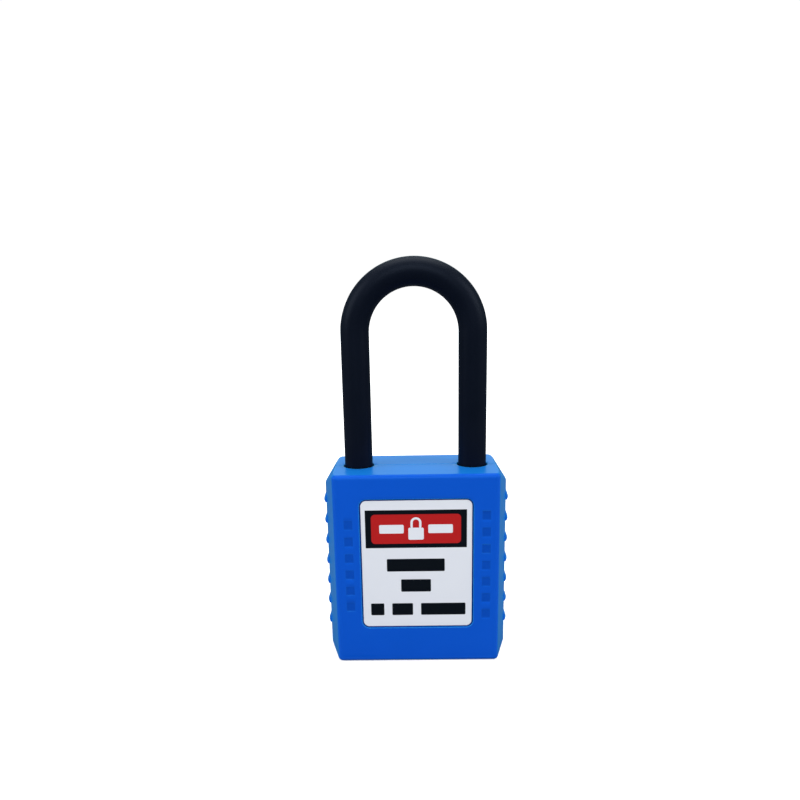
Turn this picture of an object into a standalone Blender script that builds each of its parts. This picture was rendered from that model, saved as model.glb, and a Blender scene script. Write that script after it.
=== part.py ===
"""Safety padlock: a two-shell plastic body, a nylon shackle and a six-pin lock.

The padlock stands on its bottom face. +Z is up, the front face looks along -Y, and the
origin is the middle of the bottom face. The rest state is closed, with the plug turned
to open: the latch is drawn back, so the shackle is free to lift.
"""

import math

import bmesh
import bpy
from mathutils import Matrix

MM = 0.001

# Body: a hexagon in plan, widest at its middle plane, with sloped shoulders.
BODY_HEIGHT = 44.5 * MM
BODY_DEPTH = 18.9 * MM
FACE_WIDTH = 36.4 * MM
MIDDLE_WIDTH = 41.7 * MM
SHOULDER_DROP = 3.8 * MM
EDGE_ROUND = 0.9 * MM
WALL = 2.2 * MM
FLOOR = 2.5 * MM
GAP = 0.3 * MM
OVERSHOOT = 1.0 * MM

# Grip ribs down both sides.
RIB_COUNT = 7
RIB_PITCH = 5.0 * MM
LOWEST_RIB = 6.3 * MM
RIB_HEIGHT = 2.3 * MM
RIB_PROUD = 0.5 * MM
RIB_HALF_DEPTH = 2.0 * MM

# Labels, one in a recess on each face.
LABEL_WIDTH = 24.5 * MM
LABEL_HEIGHT = 29.9 * MM
LABEL_CORNER = 1.3 * MM
LABEL_MIDDLE = 23.8 * MM
LABEL_THICKNESS = 0.35 * MM
RECESS_DEPTH = 0.7 * MM

# Shackle: toe leg at +X, heel leg at -X.
SHACKLE_RADIUS = 3.15 * MM
LEG_SPACING = 25.8 * MM
CLEAR_HEIGHT = 39.5 * MM
LIFT = 15.0 * MM
TOE_DEPTH = 14.2 * MM
HEEL_DEPTH = 28.2 * MM
TIP_CHAMFER = 0.8 * MM
BORE_RADIUS = SHACKLE_RADIUS + 0.35 * MM
TOE_X = LEG_SPACING / 2
HEEL_X = -LEG_SPACING / 2
TOE_TIP = BODY_HEIGHT - TOE_DEPTH
HEEL_TIP = BODY_HEIGHT - HEEL_DEPTH
FLAT_DEPTH = 1.3 * MM
HEEL_PIN_RADIUS = 1.25 * MM
HEEL_PIN_X = HEEL_X + SHACKLE_RADIUS - FLAT_DEPTH + GAP + HEEL_PIN_RADIUS
HEEL_GROOVE = HEEL_TIP + 3.0 * MM
HEEL_PIN_Z = HEEL_GROOVE + LIFT

# Lock cylinder: the plug turns about Z on the body's centre line, the pins point along +X.
HOUSING_RADIUS = 6.3 * MM
HOUSING_FACE_RADIUS = 5.6 * MM
HOUSING_FACE_Z = 0.3 * MM
HOUSING_TOP = 24.6 * MM
BIBLE_REACH = 12.6 * MM
BIBLE_HALF_DEPTH = 2.7 * MM
PLUG_RADIUS = 4.2 * MM
PLUG_HEAD_RADIUS = 4.7 * MM
PLUG_HEAD_TOP = 1.6 * MM
PLUG_FACE_Z = 0.5 * MM
PLUG_TOP = 26.8 * MM
CLIP_GROOVE = (24.9 * MM, 25.9 * MM)
CLIP_GROOVE_RADIUS = 3.4 * MM
CLIP_OUTER_RADIUS = 5.1 * MM
CLIP_THICKNESS = 0.6 * MM
KEYWAY_TOP = 24.0 * MM
PIN_COUNT = 6
PIN_PITCH = 3.4 * MM
FIRST_PIN_Z = 5.2 * MM
PIN_RADIUS = 1.05 * MM
PIN_BORE_RADIUS = PIN_RADIUS + GAP
KEY_CUTS = (2, 4, 1, 3, 5, 2)
CUT_STEP = 0.3 * MM
KEY_PIN_END = 4.05 * MM
DRIVER_START = 4.5 * MM
DRIVER_LENGTH = 3.2 * MM
PIN_SPRING_LENGTH = 3.2 * MM
COVER_THICKNESS = 0.8 * MM

# Cam driver and latch. A quarter turn of the crank pin moves the latch by its stroke.
LATCH_STROKE = 3.0 * MM
CRANK_RADIUS = LATCH_STROKE / math.sqrt(2.0)
CRANK_PIN_RADIUS = 0.8 * MM
CAM_FLANGE = (PLUG_TOP + GAP, 28.5 * MM)
CAM_TOP = 32.3 * MM
CAM_SHAFT_RADIUS = 3.2 * MM
LATCH_BOTTOM = 32.9 * MM
LATCH_THICKNESS = 3.0 * MM
LATCH_TOP = LATCH_BOTTOM + LATCH_THICKNESS
LATCH_BITE = 1.6 * MM
LATCH_TIP = TOE_X - SHACKLE_RADIUS + LATCH_BITE - LATCH_STROKE
LATCH_BACK = -4.4 * MM
LATCH_SHOULDER = 4.6 * MM
LATCH_HALF_WIDTH = 4.0 * MM
NOSE_HALF_WIDTH = 2.4 * MM


def make_collection(name):
    """Add a collection to the scene."""
    collection = bpy.data.collections.new(name)
    bpy.context.scene.collection.children.link(collection)
    return collection


def make_material(name, colour, roughness, metallic=0.0):
    """Add a Principled material."""
    material = bpy.data.materials.new(name)
    material.use_nodes = True
    shader = material.node_tree.nodes["Principled BSDF"]
    shader.inputs["Base Color"].default_value = (*colour, 1.0)
    shader.inputs["Roughness"].default_value = roughness
    shader.inputs["Metallic"].default_value = metallic
    return material


for old_object in list(bpy.data.objects):
    bpy.data.objects.remove(old_object, do_unlink=True)

PARTS = make_collection("safety_padlock")
CUTTERS = make_collection("cutters")
SHELL_CUTS = bpy.data.collections.new("shell_cuts")
CUTTERS.children.link(SHELL_CUTS)

BODY_BLUE = make_material("body_blue", (0.006, 0.087, 0.551), 0.38)
NYLON_BLACK = make_material("nylon_black", (0.007, 0.009, 0.014), 0.55)
LABEL_WHITE = make_material("label_white", (0.67, 0.70, 0.76), 0.45)
BRASS = make_material("brass", (0.72, 0.50, 0.20), 0.30, 1.0)
ZINC = make_material("zinc_alloy", (0.52, 0.54, 0.57), 0.42, 1.0)
STEEL = make_material("steel", (0.60, 0.61, 0.63), 0.28, 1.0)
SPRING_STEEL = make_material("spring_steel", (0.42, 0.42, 0.44), 0.35, 1.0)


def adopt(piece, name, material=None, collection=None):
    """Name a piece and file it: a part under its material, or a cutter drawn as wire."""
    piece.name = name
    piece.data.name = name
    for owner in list(piece.users_collection):
        owner.objects.unlink(piece)
    if material is None:
        (collection or CUTTERS).objects.link(piece)
        piece.hide_render = True
        piece.display_type = "WIRE"
    else:
        PARTS.objects.link(piece)
        piece.data.materials.clear()
        piece.data.materials.append(material)
    return piece


def box(name, low, high, material=None, collection=None):
    """Make a box between two corners."""
    middle = [(a + b) / 2 for a, b in zip(low, high)]
    bpy.ops.mesh.primitive_cube_add(size=1.0, location=middle)
    piece = bpy.context.object
    size = [b - a for a, b in zip(low, high)]
    piece.data.transform(Matrix.Diagonal((*size, 1.0)))
    return adopt(piece, name, material, collection)


def rod(name, radius, start, length, axis="Z", sides=32, material=None, collection=None):
    """Make a cylinder that starts at a point and runs along +axis."""
    turns = {"X": (0.0, math.pi / 2, 0.0), "Y": (-math.pi / 2, 0.0, 0.0), "Z": (0.0, 0.0, 0.0)}
    middle = list(start)
    middle["XYZ".index(axis)] += length / 2
    bpy.ops.mesh.primitive_cylinder_add(
        vertices=sides, radius=radius, depth=length, location=middle, rotation=turns[axis]
    )
    piece = adopt(bpy.context.object, name, material, collection)
    # Half a facet of roll keeps its edges off those of the turned pieces it meets.
    piece.data.transform(Matrix.Rotation(math.pi / sides, 4, "Z"))
    piece.data.shade_smooth()
    piece.data.set_sharp_from_angle(angle=math.radians(40))
    return piece


def turned(name, profile, sides=32, material=None, collection=None):
    """Turn a profile of (radius, z) points about Z: outer side from top to bottom, ring or not."""
    mesh = bpy.data.meshes.new(name)
    points = [(radius, 0.0, height) for radius, height in profile]
    edges = [(i, i + 1) for i in range(len(points) - 1)]
    if profile[0][0] > 0.0:
        edges.append((len(points) - 1, 0))
    mesh.from_pydata(points, edges, [])
    piece = bpy.data.objects.new(name, mesh)
    PARTS.objects.link(piece)
    screw = piece.modifiers.new("turn", "SCREW")
    screw.steps = sides
    screw.render_steps = sides
    screw.use_merge_vertices = True
    screw.merge_threshold = 0.00001
    return adopt(piece, name, material, collection)


def as_mesh(curve_object, name, material=None, collection=None):
    """Turn a curve object into a closed mesh object in the same place."""
    bpy.context.view_layer.update()
    evaluated = curve_object.evaluated_get(bpy.context.evaluated_depsgraph_get())
    mesh = bpy.data.meshes.new_from_object(evaluated)
    work = bmesh.new()
    work.from_mesh(mesh)
    bmesh.ops.remove_doubles(work, verts=work.verts, dist=0.000005)
    work.to_mesh(mesh)
    work.free()
    piece = bpy.data.objects.new(name, mesh)
    piece.matrix_world = curve_object.matrix_world.copy()
    PARTS.objects.link(piece)
    bpy.data.objects.remove(curve_object, do_unlink=True)
    return adopt(piece, name, material, collection)


def plate(name, outlines, bottom, thickness, material=None, collection=None):
    """Extrude flat closed outlines upwards; an outline inside another is a hole."""
    curve = bpy.data.curves.new(name, "CURVE")
    curve.dimensions = "2D"
    curve.fill_mode = "BOTH"
    curve.extrude = thickness / 2
    for outline in outlines:
        spline = curve.splines.new("POLY")
        spline.points.add(len(outline) - 1)
        for point, (x, y) in zip(spline.points, outline):
            point.co = (x, y, 0.0, 1.0)
        spline.use_cyclic_u = True
    flat = bpy.data.objects.new(name, curve)
    PARTS.objects.link(flat)
    flat.location.z = bottom + thickness / 2
    return as_mesh(flat, name, material, collection)


def wire(name, points, radius, resolution, point_radii=None, material=None):
    """Sweep a round section along a list of points, with closed ends."""
    curve = bpy.data.curves.new(name, "CURVE")
    curve.dimensions = "3D"
    curve.bevel_depth = radius
    curve.bevel_resolution = resolution
    curve.use_fill_caps = True
    spline = curve.splines.new("POLY")
    spline.points.add(len(points) - 1)
    for index, (point, place) in enumerate(zip(spline.points, points)):
        point.co = (*place, 1.0)
        if point_radii:
            point.radius = point_radii[index]
    swept = bpy.data.objects.new(name, curve)
    PARTS.objects.link(swept)
    piece = as_mesh(swept, name, material)
    piece.data.shade_smooth()
    piece.data.set_sharp_from_angle(angle=math.radians(50))
    return piece


def arc(centre, radius, start, end, steps):
    """List points on an arc, with its angles in degrees."""
    angles = [math.radians(start + (end - start) * i / steps) for i in range(steps + 1)]
    return [(centre[0] + radius * math.cos(a), centre[1] + radius * math.sin(a)) for a in angles]


def rounded_rectangle(width, height, radius, steps=3):
    """List the outline of a rectangle with round corners, about its own middle."""
    across = width / 2 - radius
    up = height / 2 - radius
    outline = []
    for corner, (side, level) in enumerate(((1, 1), (-1, 1), (-1, -1), (1, -1))):
        outline += arc((side * across, level * up), radius, 90 * corner, 90 * corner + 90, steps)
    return outline


def cut(piece, cutter, operation="DIFFERENCE"):
    """Add a Boolean with one cutter, or with a whole collection of cutters."""
    modifier = piece.modifiers.new(cutter.name, "BOOLEAN")
    modifier.operation = operation
    modifier.solver = "EXACT"
    if isinstance(cutter, bpy.types.Collection):
        modifier.operand_type = "COLLECTION"
        modifier.collection = cutter
    else:
        modifier.object = cutter


def side_slope():
    """Width lost on one side per unit of depth away from the middle plane."""
    return (MIDDLE_WIDTH - FACE_WIDTH) / BODY_DEPTH


def make_grip_ribs(form, side):
    """Join one side's column of ribs to the body; side is -1 or 1 in X."""
    root = 0.8 * MM
    profile = [
        (-root, 0.0),
        (RIB_PROUD * 0.75, 0.0),
        (RIB_PROUD, RIB_HEIGHT * 0.15),
        (RIB_PROUD * 0.9, RIB_HEIGHT * 0.35),
        (-0.1 * MM, RIB_HEIGHT),
        (-root, RIB_HEIGHT),
    ]
    name = f"grip_ribs_{'left' if side < 0 else 'right'}"
    ribs = plate(name, [profile], -RIB_HALF_DEPTH, 2 * RIB_HALF_DEPTH)
    # Local X points out of the side, and local Y up.
    ribs.data.transform(Matrix(((side, 0, 0, 0), (0, 0, -side, 0), (0, 1, 0, 0), (0, 0, 0, 1))))
    work = bmesh.new()
    work.from_mesh(ribs.data)
    everything = work.verts[:] + work.edges[:] + work.faces[:]
    bmesh.ops.bisect_plane(work, geom=everything, dist=0.000001, plane_co=(0, 0, 0), plane_no=(0, 1, 0))
    for vertex in work.verts:
        vertex.co.x -= side * side_slope() * abs(vertex.co.y)
    work.to_mesh(ribs.data)
    work.free()
    ribs.location = (side * MIDDLE_WIDTH / 2, 0.0, LOWEST_RIB)
    repeat = ribs.modifiers.new("column", "ARRAY")
    repeat.count = RIB_COUNT
    repeat.use_relative_offset = False
    repeat.use_constant_offset = True
    repeat.constant_offset_displace = (0.0, 0.0, RIB_PITCH)
    cut(form, ribs, "UNION")


def make_body_form():
    """The whole outer form of the body, before it is parted into two shells."""
    face = FACE_WIDTH / 2
    middle = MIDDLE_WIDTH / 2
    front = BODY_DEPTH / 2
    hexagon = [(-face, -front), (face, -front), (middle, 0.0), (face, front), (-face, front), (-middle, 0.0)]
    form = plate("body_form", [hexagon], 0.0, BODY_HEIGHT)
    merge_flats = form.modifiers.new("merge_flats", "DECIMATE")
    merge_flats.decimate_type = "DISSOLVE"
    merge_flats.angle_limit = math.radians(1)
    bevel = form.modifiers.new("edge_round", "BEVEL")
    bevel.width = EDGE_ROUND
    bevel.segments = 2
    bevel.limit_method = "ANGLE"
    bevel.angle_limit = math.radians(20)
    slope = math.atan2(SHOULDER_DROP, middle - face)
    for side in (-1, 1):
        reach = 12 * MM
        name = f"shoulder_{'left' if side < 0 else 'right'}"
        shoulder = box(name, (0.0, -2 * front, -reach), (reach, 2 * front, reach))
        shoulder.data.transform(Matrix.Translation((reach / 2, 0.0, 0.0)))
        shoulder.location = (side * face, 0.0, BODY_HEIGHT)
        lean_angle = math.pi / 2 - slope
        shoulder.rotation_euler.y = -lean_angle if side > 0 else math.pi + lean_angle
        cut(form, shoulder)
    for side in (-1, 1):
        make_grip_ribs(form, side)
    return form


def make_shell_cuts():
    """Bores, pockets and moulded cells that both shells share."""
    over_top = BODY_HEIGHT + OVERSHOOT
    cuts = {"collection": SHELL_CUTS}
    rod("toe_bore", BORE_RADIUS, (TOE_X, 0, TOE_TIP - 1.4 * MM), over_top - TOE_TIP + 1.4 * MM, **cuts)
    rod("heel_bore", BORE_RADIUS, (HEEL_X, 0, FLOOR), over_top - FLOOR, **cuts)
    rod("bottom_opening", HOUSING_FACE_RADIUS + GAP, (0, 0, -OVERSHOOT), FLOOR + 2 * OVERSHOOT, **cuts)
    rod("housing_pocket", HOUSING_RADIUS + GAP, (0, 0, FLOOR), HOUSING_TOP + GAP - FLOOR, **cuts)
    bible = BIBLE_HALF_DEPTH + GAP
    box("bible_pocket", (0, -bible, FLOOR), (BIBLE_REACH + GAP, bible, HOUSING_TOP + GAP), **cuts)
    clip_room = CAM_FLANGE[1] + GAP - HOUSING_TOP
    rod("clip_pocket", CLIP_OUTER_RADIUS + 0.4 * MM, (0, 0, HOUSING_TOP), clip_room, **cuts)
    rod("cam_bore", CAM_SHAFT_RADIUS + GAP, (0, 0, CAM_FLANGE[1]), LATCH_BOTTOM - CAM_FLANGE[1], **cuts)
    low = LATCH_BOTTOM - GAP
    high = LATCH_TOP + GAP
    wide = LATCH_HALF_WIDTH + GAP
    narrow = NOSE_HALF_WIDTH + GAP
    stop = LATCH_SHOULDER + LATCH_STROKE + GAP
    box("latch_channel", (LATCH_BACK - GAP, -wide, low), (stop, wide, high), **cuts)
    box("nose_channel", (stop - OVERSHOOT, -narrow, low), (TOE_X, narrow, high), **cuts)
    hole = HEEL_PIN_RADIUS + GAP
    deep = BODY_DEPTH / 2 - WALL
    rod("heel_pin_hole", hole, (HEEL_PIN_X, -deep, HEEL_PIN_Z), 2 * deep, axis="Y", sides=20, **cuts)
    # Cells between the moulded webs, open at the parting plane.
    side_x = 17.0 * MM
    wall_x = 8.3 * MM
    inner_x = 7.3 * MM
    levels = [(FLOOR, 8.4 * MM), (10.0 * MM, 16.4 * MM), (18.0 * MM, 23.6 * MM)]
    columns = {
        "heel": (-side_x, -wall_x, levels + [(25.2 * MM, 31.0 * MM)]),
        "middle": (-inner_x, inner_x, levels + [(38.0 * MM, 41.8 * MM)]),
        "toe": (wall_x, side_x, levels),
    }
    for column, (left, right, cells) in columns.items():
        for number, (bottom, top) in enumerate(cells, 1):
            box(f"{column}_cell_{number}", (left, -deep, bottom), (right, deep, top), **cuts)


def make_recess(name, face):
    """Cutter for the shallow label recess in the front (-1) or rear (1) face."""
    clear = LABEL_WIDTH + 2 * GAP, LABEL_HEIGHT + 2 * GAP
    recess = plate(name, [rounded_rectangle(*clear, LABEL_CORNER + GAP)], -RECESS_DEPTH, RECESS_DEPTH * 2)
    recess.data.transform(Matrix.Translation((0.0, 0.0, recess.location.z)))
    recess.rotation_euler.x = math.radians(-90 * face)
    recess.location = (0.0, face * BODY_DEPTH / 2, LABEL_MIDDLE)
    return recess


def make_shells():
    """Front and rear body shells: blue ABS mouldings that meet at the middle plane."""
    form = make_body_form()
    make_shell_cuts()
    reach = 30 * MM
    peg_x = 18.7 * MM
    peg_radius = 0.6 * MM
    peg_length = 2.4 * MM
    for name, face in (("front_shell", -1), ("rear_shell", 1)):
        near = GAP / 2
        ends = sorted((face * near, face * reach))
        low = (-reach, ends[0], -reach)
        high = (reach, ends[1], 2 * reach)
        shell = box(name, low, high, BODY_BLUE)
        cut(shell, form, "INTERSECT")
        cut(shell, SHELL_CUTS)
        cut(shell, make_recess(f"{name}_recess", face))
        for side in (-1, 1):
            for level in (12.9 * MM, 32.9 * MM):
                place = (side * peg_x, 0.0, level)
                spot = f"{'left' if side < 0 else 'right'}_{'low' if level < BODY_HEIGHT / 2 else 'high'}"
                if face < 0:
                    start = (place[0], -peg_length - GAP, level)
                    socket = peg_radius + GAP
                    cut(shell, rod(f"socket_{spot}", socket, start, peg_length + 1 * MM, axis="Y", sides=12))
                else:
                    start = (place[0], -peg_length, level)
                    peg = rod(f"peg_{spot}", peg_radius, start, peg_length + 1 * MM, axis="Y", sides=12)
                    cut(shell, peg, "UNION")


def make_labels():
    """Thin plastic labels, let into the front and rear faces."""
    for name, face in (("front_label", -1), ("rear_label", 1)):
        outline = rounded_rectangle(LABEL_WIDTH, LABEL_HEIGHT, LABEL_CORNER)
        label = plate(name, [outline], -LABEL_THICKNESS / 2, LABEL_THICKNESS, LABEL_WHITE)
        label.rotation_euler.x = math.radians(-90 * face)
        sunk = 0.15 * MM + LABEL_THICKNESS / 2
        label.location = (0.0, face * (BODY_DEPTH / 2 - sunk), LABEL_MIDDLE)


def make_shackle():
    """One nylon bar bent into a U, with the toe notch, the heel flat and the heel groove."""
    bend = LEG_SPACING / 2
    bend_z = BODY_HEIGHT + CLEAR_HEIGHT - (bend - SHACKLE_RADIUS)
    arch = [(x, 0.0, z) for x, z in arc((0.0, bend_z), bend, 0, 180, 18)]
    toe = [(TOE_X, 0.0, TOE_TIP), (TOE_X, 0.0, TOE_TIP + TIP_CHAMFER)]
    heel = [(HEEL_X, 0.0, HEEL_TIP + TIP_CHAMFER), (HEEL_X, 0.0, HEEL_TIP)]
    tip = 1 - TIP_CHAMFER / SHACKLE_RADIUS
    thickness = [tip, 1.0] + [1.0] * len(arch) + [1.0, tip]
    shackle = wire("shackle", toe + arch + heel, SHACKLE_RADIUS, 8, thickness, NYLON_BLACK)
    wide = SHACKLE_RADIUS + OVERSHOOT
    notch_floor = TOE_X - SHACKLE_RADIUS + LATCH_BITE + GAP
    notch_low = (notch_floor - wide, -wide, LATCH_BOTTOM - GAP)
    notch_high = (notch_floor, wide, LATCH_TOP + GAP)
    cut(shackle, box("toe_notch", notch_low, notch_high))
    flat_x = HEEL_X + SHACKLE_RADIUS - FLAT_DEPTH
    room = HEEL_PIN_RADIUS + GAP
    flat_high = (flat_x + wide, wide, HEEL_PIN_Z + room)
    cut(shackle, box("heel_flat", (flat_x, -wide, HEEL_GROOVE), flat_high))
    neck = SHACKLE_RADIUS - FLAT_DEPTH
    ring = [(wide, room), (wide, -room), (neck, -room), (neck, room)]
    groove = turned("heel_groove", ring, 24)
    groove.location = (HEEL_X, 0.0, HEEL_GROOVE)
    cut(shackle, groove)


def make_cylinder_housing():
    """Zinc alloy lock cylinder: a round body with a rib (the bible) for the pin chambers."""
    profile = [
        (0.0, HOUSING_TOP),
        (HOUSING_RADIUS, HOUSING_TOP),
        (HOUSING_RADIUS, FLOOR + GAP),
        (HOUSING_FACE_RADIUS, FLOOR + GAP),
        (HOUSING_FACE_RADIUS, HOUSING_FACE_Z),
        (0.0, HOUSING_FACE_Z),
    ]
    housing = turned("cylinder_housing", profile, 36, ZINC)
    low = (1 * MM, -BIBLE_HALF_DEPTH, FLOOR + GAP + 0.2 * MM)
    high = (BIBLE_REACH, BIBLE_HALF_DEPTH, HOUSING_TOP - 0.2 * MM)
    cut(housing, box("bible", low, high), "UNION")
    bore_start = (0, 0, -OVERSHOOT)
    cut(housing, rod("plug_bore", PLUG_RADIUS + GAP, bore_start, HOUSING_TOP + 2 * OVERSHOOT, sides=36))
    counterbore = PLUG_HEAD_TOP + GAP + OVERSHOOT
    cut(housing, rod("plug_head_bore", PLUG_HEAD_RADIUS + GAP, bore_start, counterbore, sides=36))
    for number in range(PIN_COUNT):
        start = (2 * MM, 0, FIRST_PIN_Z + number * PIN_PITCH)
        chamber = rod(f"chamber_{number + 1}", PIN_BORE_RADIUS, start, BIBLE_REACH, axis="X", sides=16)
        cut(housing, chamber)
    half = 1.9 * MM
    ends = cover_ends()
    groove_low = (cover_bottom() - GAP, -half - GAP, ends[0] - GAP)
    cut(housing, box("cover_groove", groove_low, (BIBLE_REACH + 1 * MM, half + GAP, ends[1] + GAP)))
    low = (cover_bottom(), -half, ends[0])
    cover = box("chamber_cover", low, (BIBLE_REACH, half, ends[1]), STEEL)
    bevel = cover.modifiers.new("edge_round", "BEVEL")
    bevel.width = 0.15 * MM
    bevel.segments = 1


def cover_bottom():
    """X of the chamber cover's inner face."""
    return BIBLE_REACH - COVER_THICKNESS


def cover_ends():
    """Lowest and highest Z of the chamber cover."""
    margin = PIN_BORE_RADIUS + GAP
    last = FIRST_PIN_Z + (PIN_COUNT - 1) * PIN_PITCH
    return FIRST_PIN_Z - margin, last + margin


def make_plug():
    """Brass plug: head, keyway, pin bores, clip groove and the slot that drives the cam."""
    profile = [
        (0.0, PLUG_TOP),
        (PLUG_RADIUS, PLUG_TOP),
        (PLUG_RADIUS, CLIP_GROOVE[1]),
        (CLIP_GROOVE_RADIUS, CLIP_GROOVE[1]),
        (CLIP_GROOVE_RADIUS, CLIP_GROOVE[0]),
        (PLUG_RADIUS, CLIP_GROOVE[0]),
        (PLUG_RADIUS, PLUG_HEAD_TOP),
        (PLUG_HEAD_RADIUS, PLUG_HEAD_TOP),
        (PLUG_HEAD_RADIUS, PLUG_FACE_Z),
        (0.0, PLUG_FACE_Z),
    ]
    plug = turned("plug", profile, 36, BRASS)
    # The keyway is two slots side by side, so the key is warded.
    lower_low = (-PLUG_HEAD_RADIUS - OVERSHOOT, -0.95 * MM, -OVERSHOOT)
    cut(plug, box("keyway_lower", lower_low, (-0.6 * MM, 0.35 * MM, KEYWAY_TOP)))
    upper_low = (-1.6 * MM, -0.35 * MM, -OVERSHOOT)
    cut(plug, box("keyway_upper", upper_low, (3.1 * MM, 0.95 * MM, KEYWAY_TOP - 0.2 * MM)))
    for number in range(PIN_COUNT):
        start = (0.2 * MM, 0, FIRST_PIN_Z + number * PIN_PITCH)
        cut(plug, rod(f"key_pin_bore_{number + 1}", PIN_BORE_RADIUS, start, PLUG_RADIUS, axis="X", sides=16))
    slot = 1.1 * MM
    slot_low = (-PLUG_RADIUS - OVERSHOOT, -slot, CLIP_GROOVE[1] - 0.1 * MM)
    cut(plug, box("drive_slot", slot_low, (PLUG_RADIUS + OVERSHOOT, slot, PLUG_TOP + OVERSHOOT)))


def make_pins():
    """Key pins with cone tips, and driver pins, with their outer ends towards +X."""
    tip = 0.4 * MM
    cone = 0.6 * MM
    edge = 0.15 * MM
    driver_shape = [
        (0.0, DRIVER_LENGTH),
        (PIN_RADIUS - edge, DRIVER_LENGTH),
        (PIN_RADIUS, DRIVER_LENGTH - edge),
        (PIN_RADIUS, edge),
        (PIN_RADIUS - edge, 0.0),
        (0.0, 0.0),
    ]
    for number, key_cut in enumerate(KEY_CUTS):
        height = FIRST_PIN_Z + number * PIN_PITCH
        length = KEY_PIN_END - 1.0 * MM - key_cut * CUT_STEP
        key_shape = [
            (0.0, length),
            (PIN_RADIUS, length),
            (PIN_RADIUS, cone),
            (tip, 0.0),
            (0.0, 0.0),
        ]
        key_pin = turned(f"key_pin_{number + 1}", key_shape, 14, BRASS)
        key_pin.rotation_euler.y = math.pi / 2
        key_pin.location = (KEY_PIN_END - length, 0.0, height)
        driver = turned(f"driver_pin_{number + 1}", driver_shape, 14, STEEL)
        driver.rotation_euler.y = math.pi / 2
        driver.location = (DRIVER_START, 0.0, height)


def coil_points(radius, length, turns, steps_per_turn, wire_radius):
    """List points along a coil about Z, with its last part-turn at each end laid flat."""
    steps = int(turns * steps_per_turn)
    rise = length - 2 * wire_radius
    points = []
    for step in range(steps + 1):
        angle = 2 * math.pi * step / steps_per_turn
        share = min(max((step / steps - 0.08) / 0.84, 0.0), 1.0)
        height = wire_radius + rise * share
        points.append((radius * math.cos(angle), radius * math.sin(angle), height))
    return points


def make_pin_springs():
    """Six small springs that press the driver pins towards the plug."""
    wire_radius = 0.14 * MM
    points = coil_points(0.88 * MM, PIN_SPRING_LENGTH, 4.5, 8, wire_radius)
    for number in range(PIN_COUNT):
        spring = wire(f"pin_spring_{number + 1}", points, wire_radius, 1, material=SPRING_STEEL)
        spring.rotation_euler.y = math.pi / 2
        start = DRIVER_START + DRIVER_LENGTH + GAP / 2
        spring.location = (start, 0.0, FIRST_PIN_Z + number * PIN_PITCH)


def make_plug_clip():
    """Spring steel retaining ring, open on one side, in the plug's groove."""
    opening = 40
    inner = CLIP_GROOVE_RADIUS + GAP
    outline = arc((0.0, 0.0), CLIP_OUTER_RADIUS, -180 + opening, 180 - opening, 22)
    outline += arc((0.0, 0.0), inner, 180 - opening, -180 + opening, 22)
    bottom = (CLIP_GROOVE[0] + CLIP_GROOVE[1] - CLIP_THICKNESS) / 2
    plate("plug_clip", [outline], bottom, CLIP_THICKNESS, SPRING_STEEL)


def make_cam_driver():
    """Zinc tail piece: tongue in the plug's slot, shaft, and crank pin in the latch's slot."""
    profile = [
        (0.0, CAM_TOP),
        (CAM_SHAFT_RADIUS, CAM_TOP),
        (CAM_SHAFT_RADIUS, CAM_FLANGE[1]),
        (PLUG_RADIUS, CAM_FLANGE[1]),
        (PLUG_RADIUS, CAM_FLANGE[0]),
        (0.0, CAM_FLANGE[0]),
    ]
    cam = turned("cam_driver", profile, 28, ZINC)
    tongue_low = (-2.9 * MM, -0.8 * MM, CLIP_GROOVE[1] + GAP)
    cut(cam, box("tongue", tongue_low, (2.9 * MM, 0.8 * MM, CAM_FLANGE[0] + 0.5 * MM)), "UNION")
    crank = LATCH_STROKE / 2
    start = (-crank, crank, CAM_TOP - 0.5 * MM)
    height = LATCH_TOP - 0.2 * MM - start[2]
    cut(cam, rod("crank_pin", CRANK_PIN_RADIUS, start, height, sides=16), "UNION")


def make_latch():
    """Sliding latch plate with a cross slot for the crank pin and a nose for the toe notch."""
    crank = LATCH_STROKE / 2
    nose = 0.5 * MM
    outline = [
        (LATCH_BACK, -LATCH_HALF_WIDTH),
        (LATCH_SHOULDER, -LATCH_HALF_WIDTH),
        (LATCH_SHOULDER, -NOSE_HALF_WIDTH),
        (LATCH_TIP - nose, -NOSE_HALF_WIDTH),
        (LATCH_TIP, -NOSE_HALF_WIDTH + nose),
        (LATCH_TIP, NOSE_HALF_WIDTH - nose),
        (LATCH_TIP - nose, NOSE_HALF_WIDTH),
        (LATCH_SHOULDER, NOSE_HALF_WIDTH),
        (LATCH_SHOULDER, LATCH_HALF_WIDTH),
        (LATCH_BACK, LATCH_HALF_WIDTH),
    ]
    room = CRANK_PIN_RADIUS + GAP
    slot = arc((-crank, CRANK_RADIUS), room, 0, 180, 8)
    slot += arc((-crank, crank), room, 180, 360, 8)
    plate("latch", [outline, slot], LATCH_BOTTOM, LATCH_THICKNESS, ZINC)


def make_heel_pin():
    """Steel cross pin between the shells, beside the heel leg."""
    half = BODY_DEPTH / 2 - WALL - GAP
    edge = 0.3 * MM
    profile = [
        (0.0, half),
        (HEEL_PIN_RADIUS - edge, half),
        (HEEL_PIN_RADIUS, half - edge),
        (HEEL_PIN_RADIUS, edge - half),
        (HEEL_PIN_RADIUS - edge, -half),
        (0.0, -half),
    ]
    pin = turned("heel_pin", profile, 20, STEEL)
    pin.rotation_euler.x = math.pi / 2
    pin.location = (HEEL_PIN_X, 0.0, HEEL_PIN_Z)


def make_shackle_spring():
    """Pop-up spring between the shell's floor and the heel leg's tip."""
    wire_radius = 0.35 * MM
    bottom = FLOOR + GAP
    points = coil_points(2.5 * MM, HEEL_TIP - GAP - bottom, 8, 12, wire_radius)
    spring = wire("shackle_spring", points, wire_radius, 2, material=SPRING_STEEL)
    spring.location = (HEEL_X, 0.0, bottom)


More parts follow.
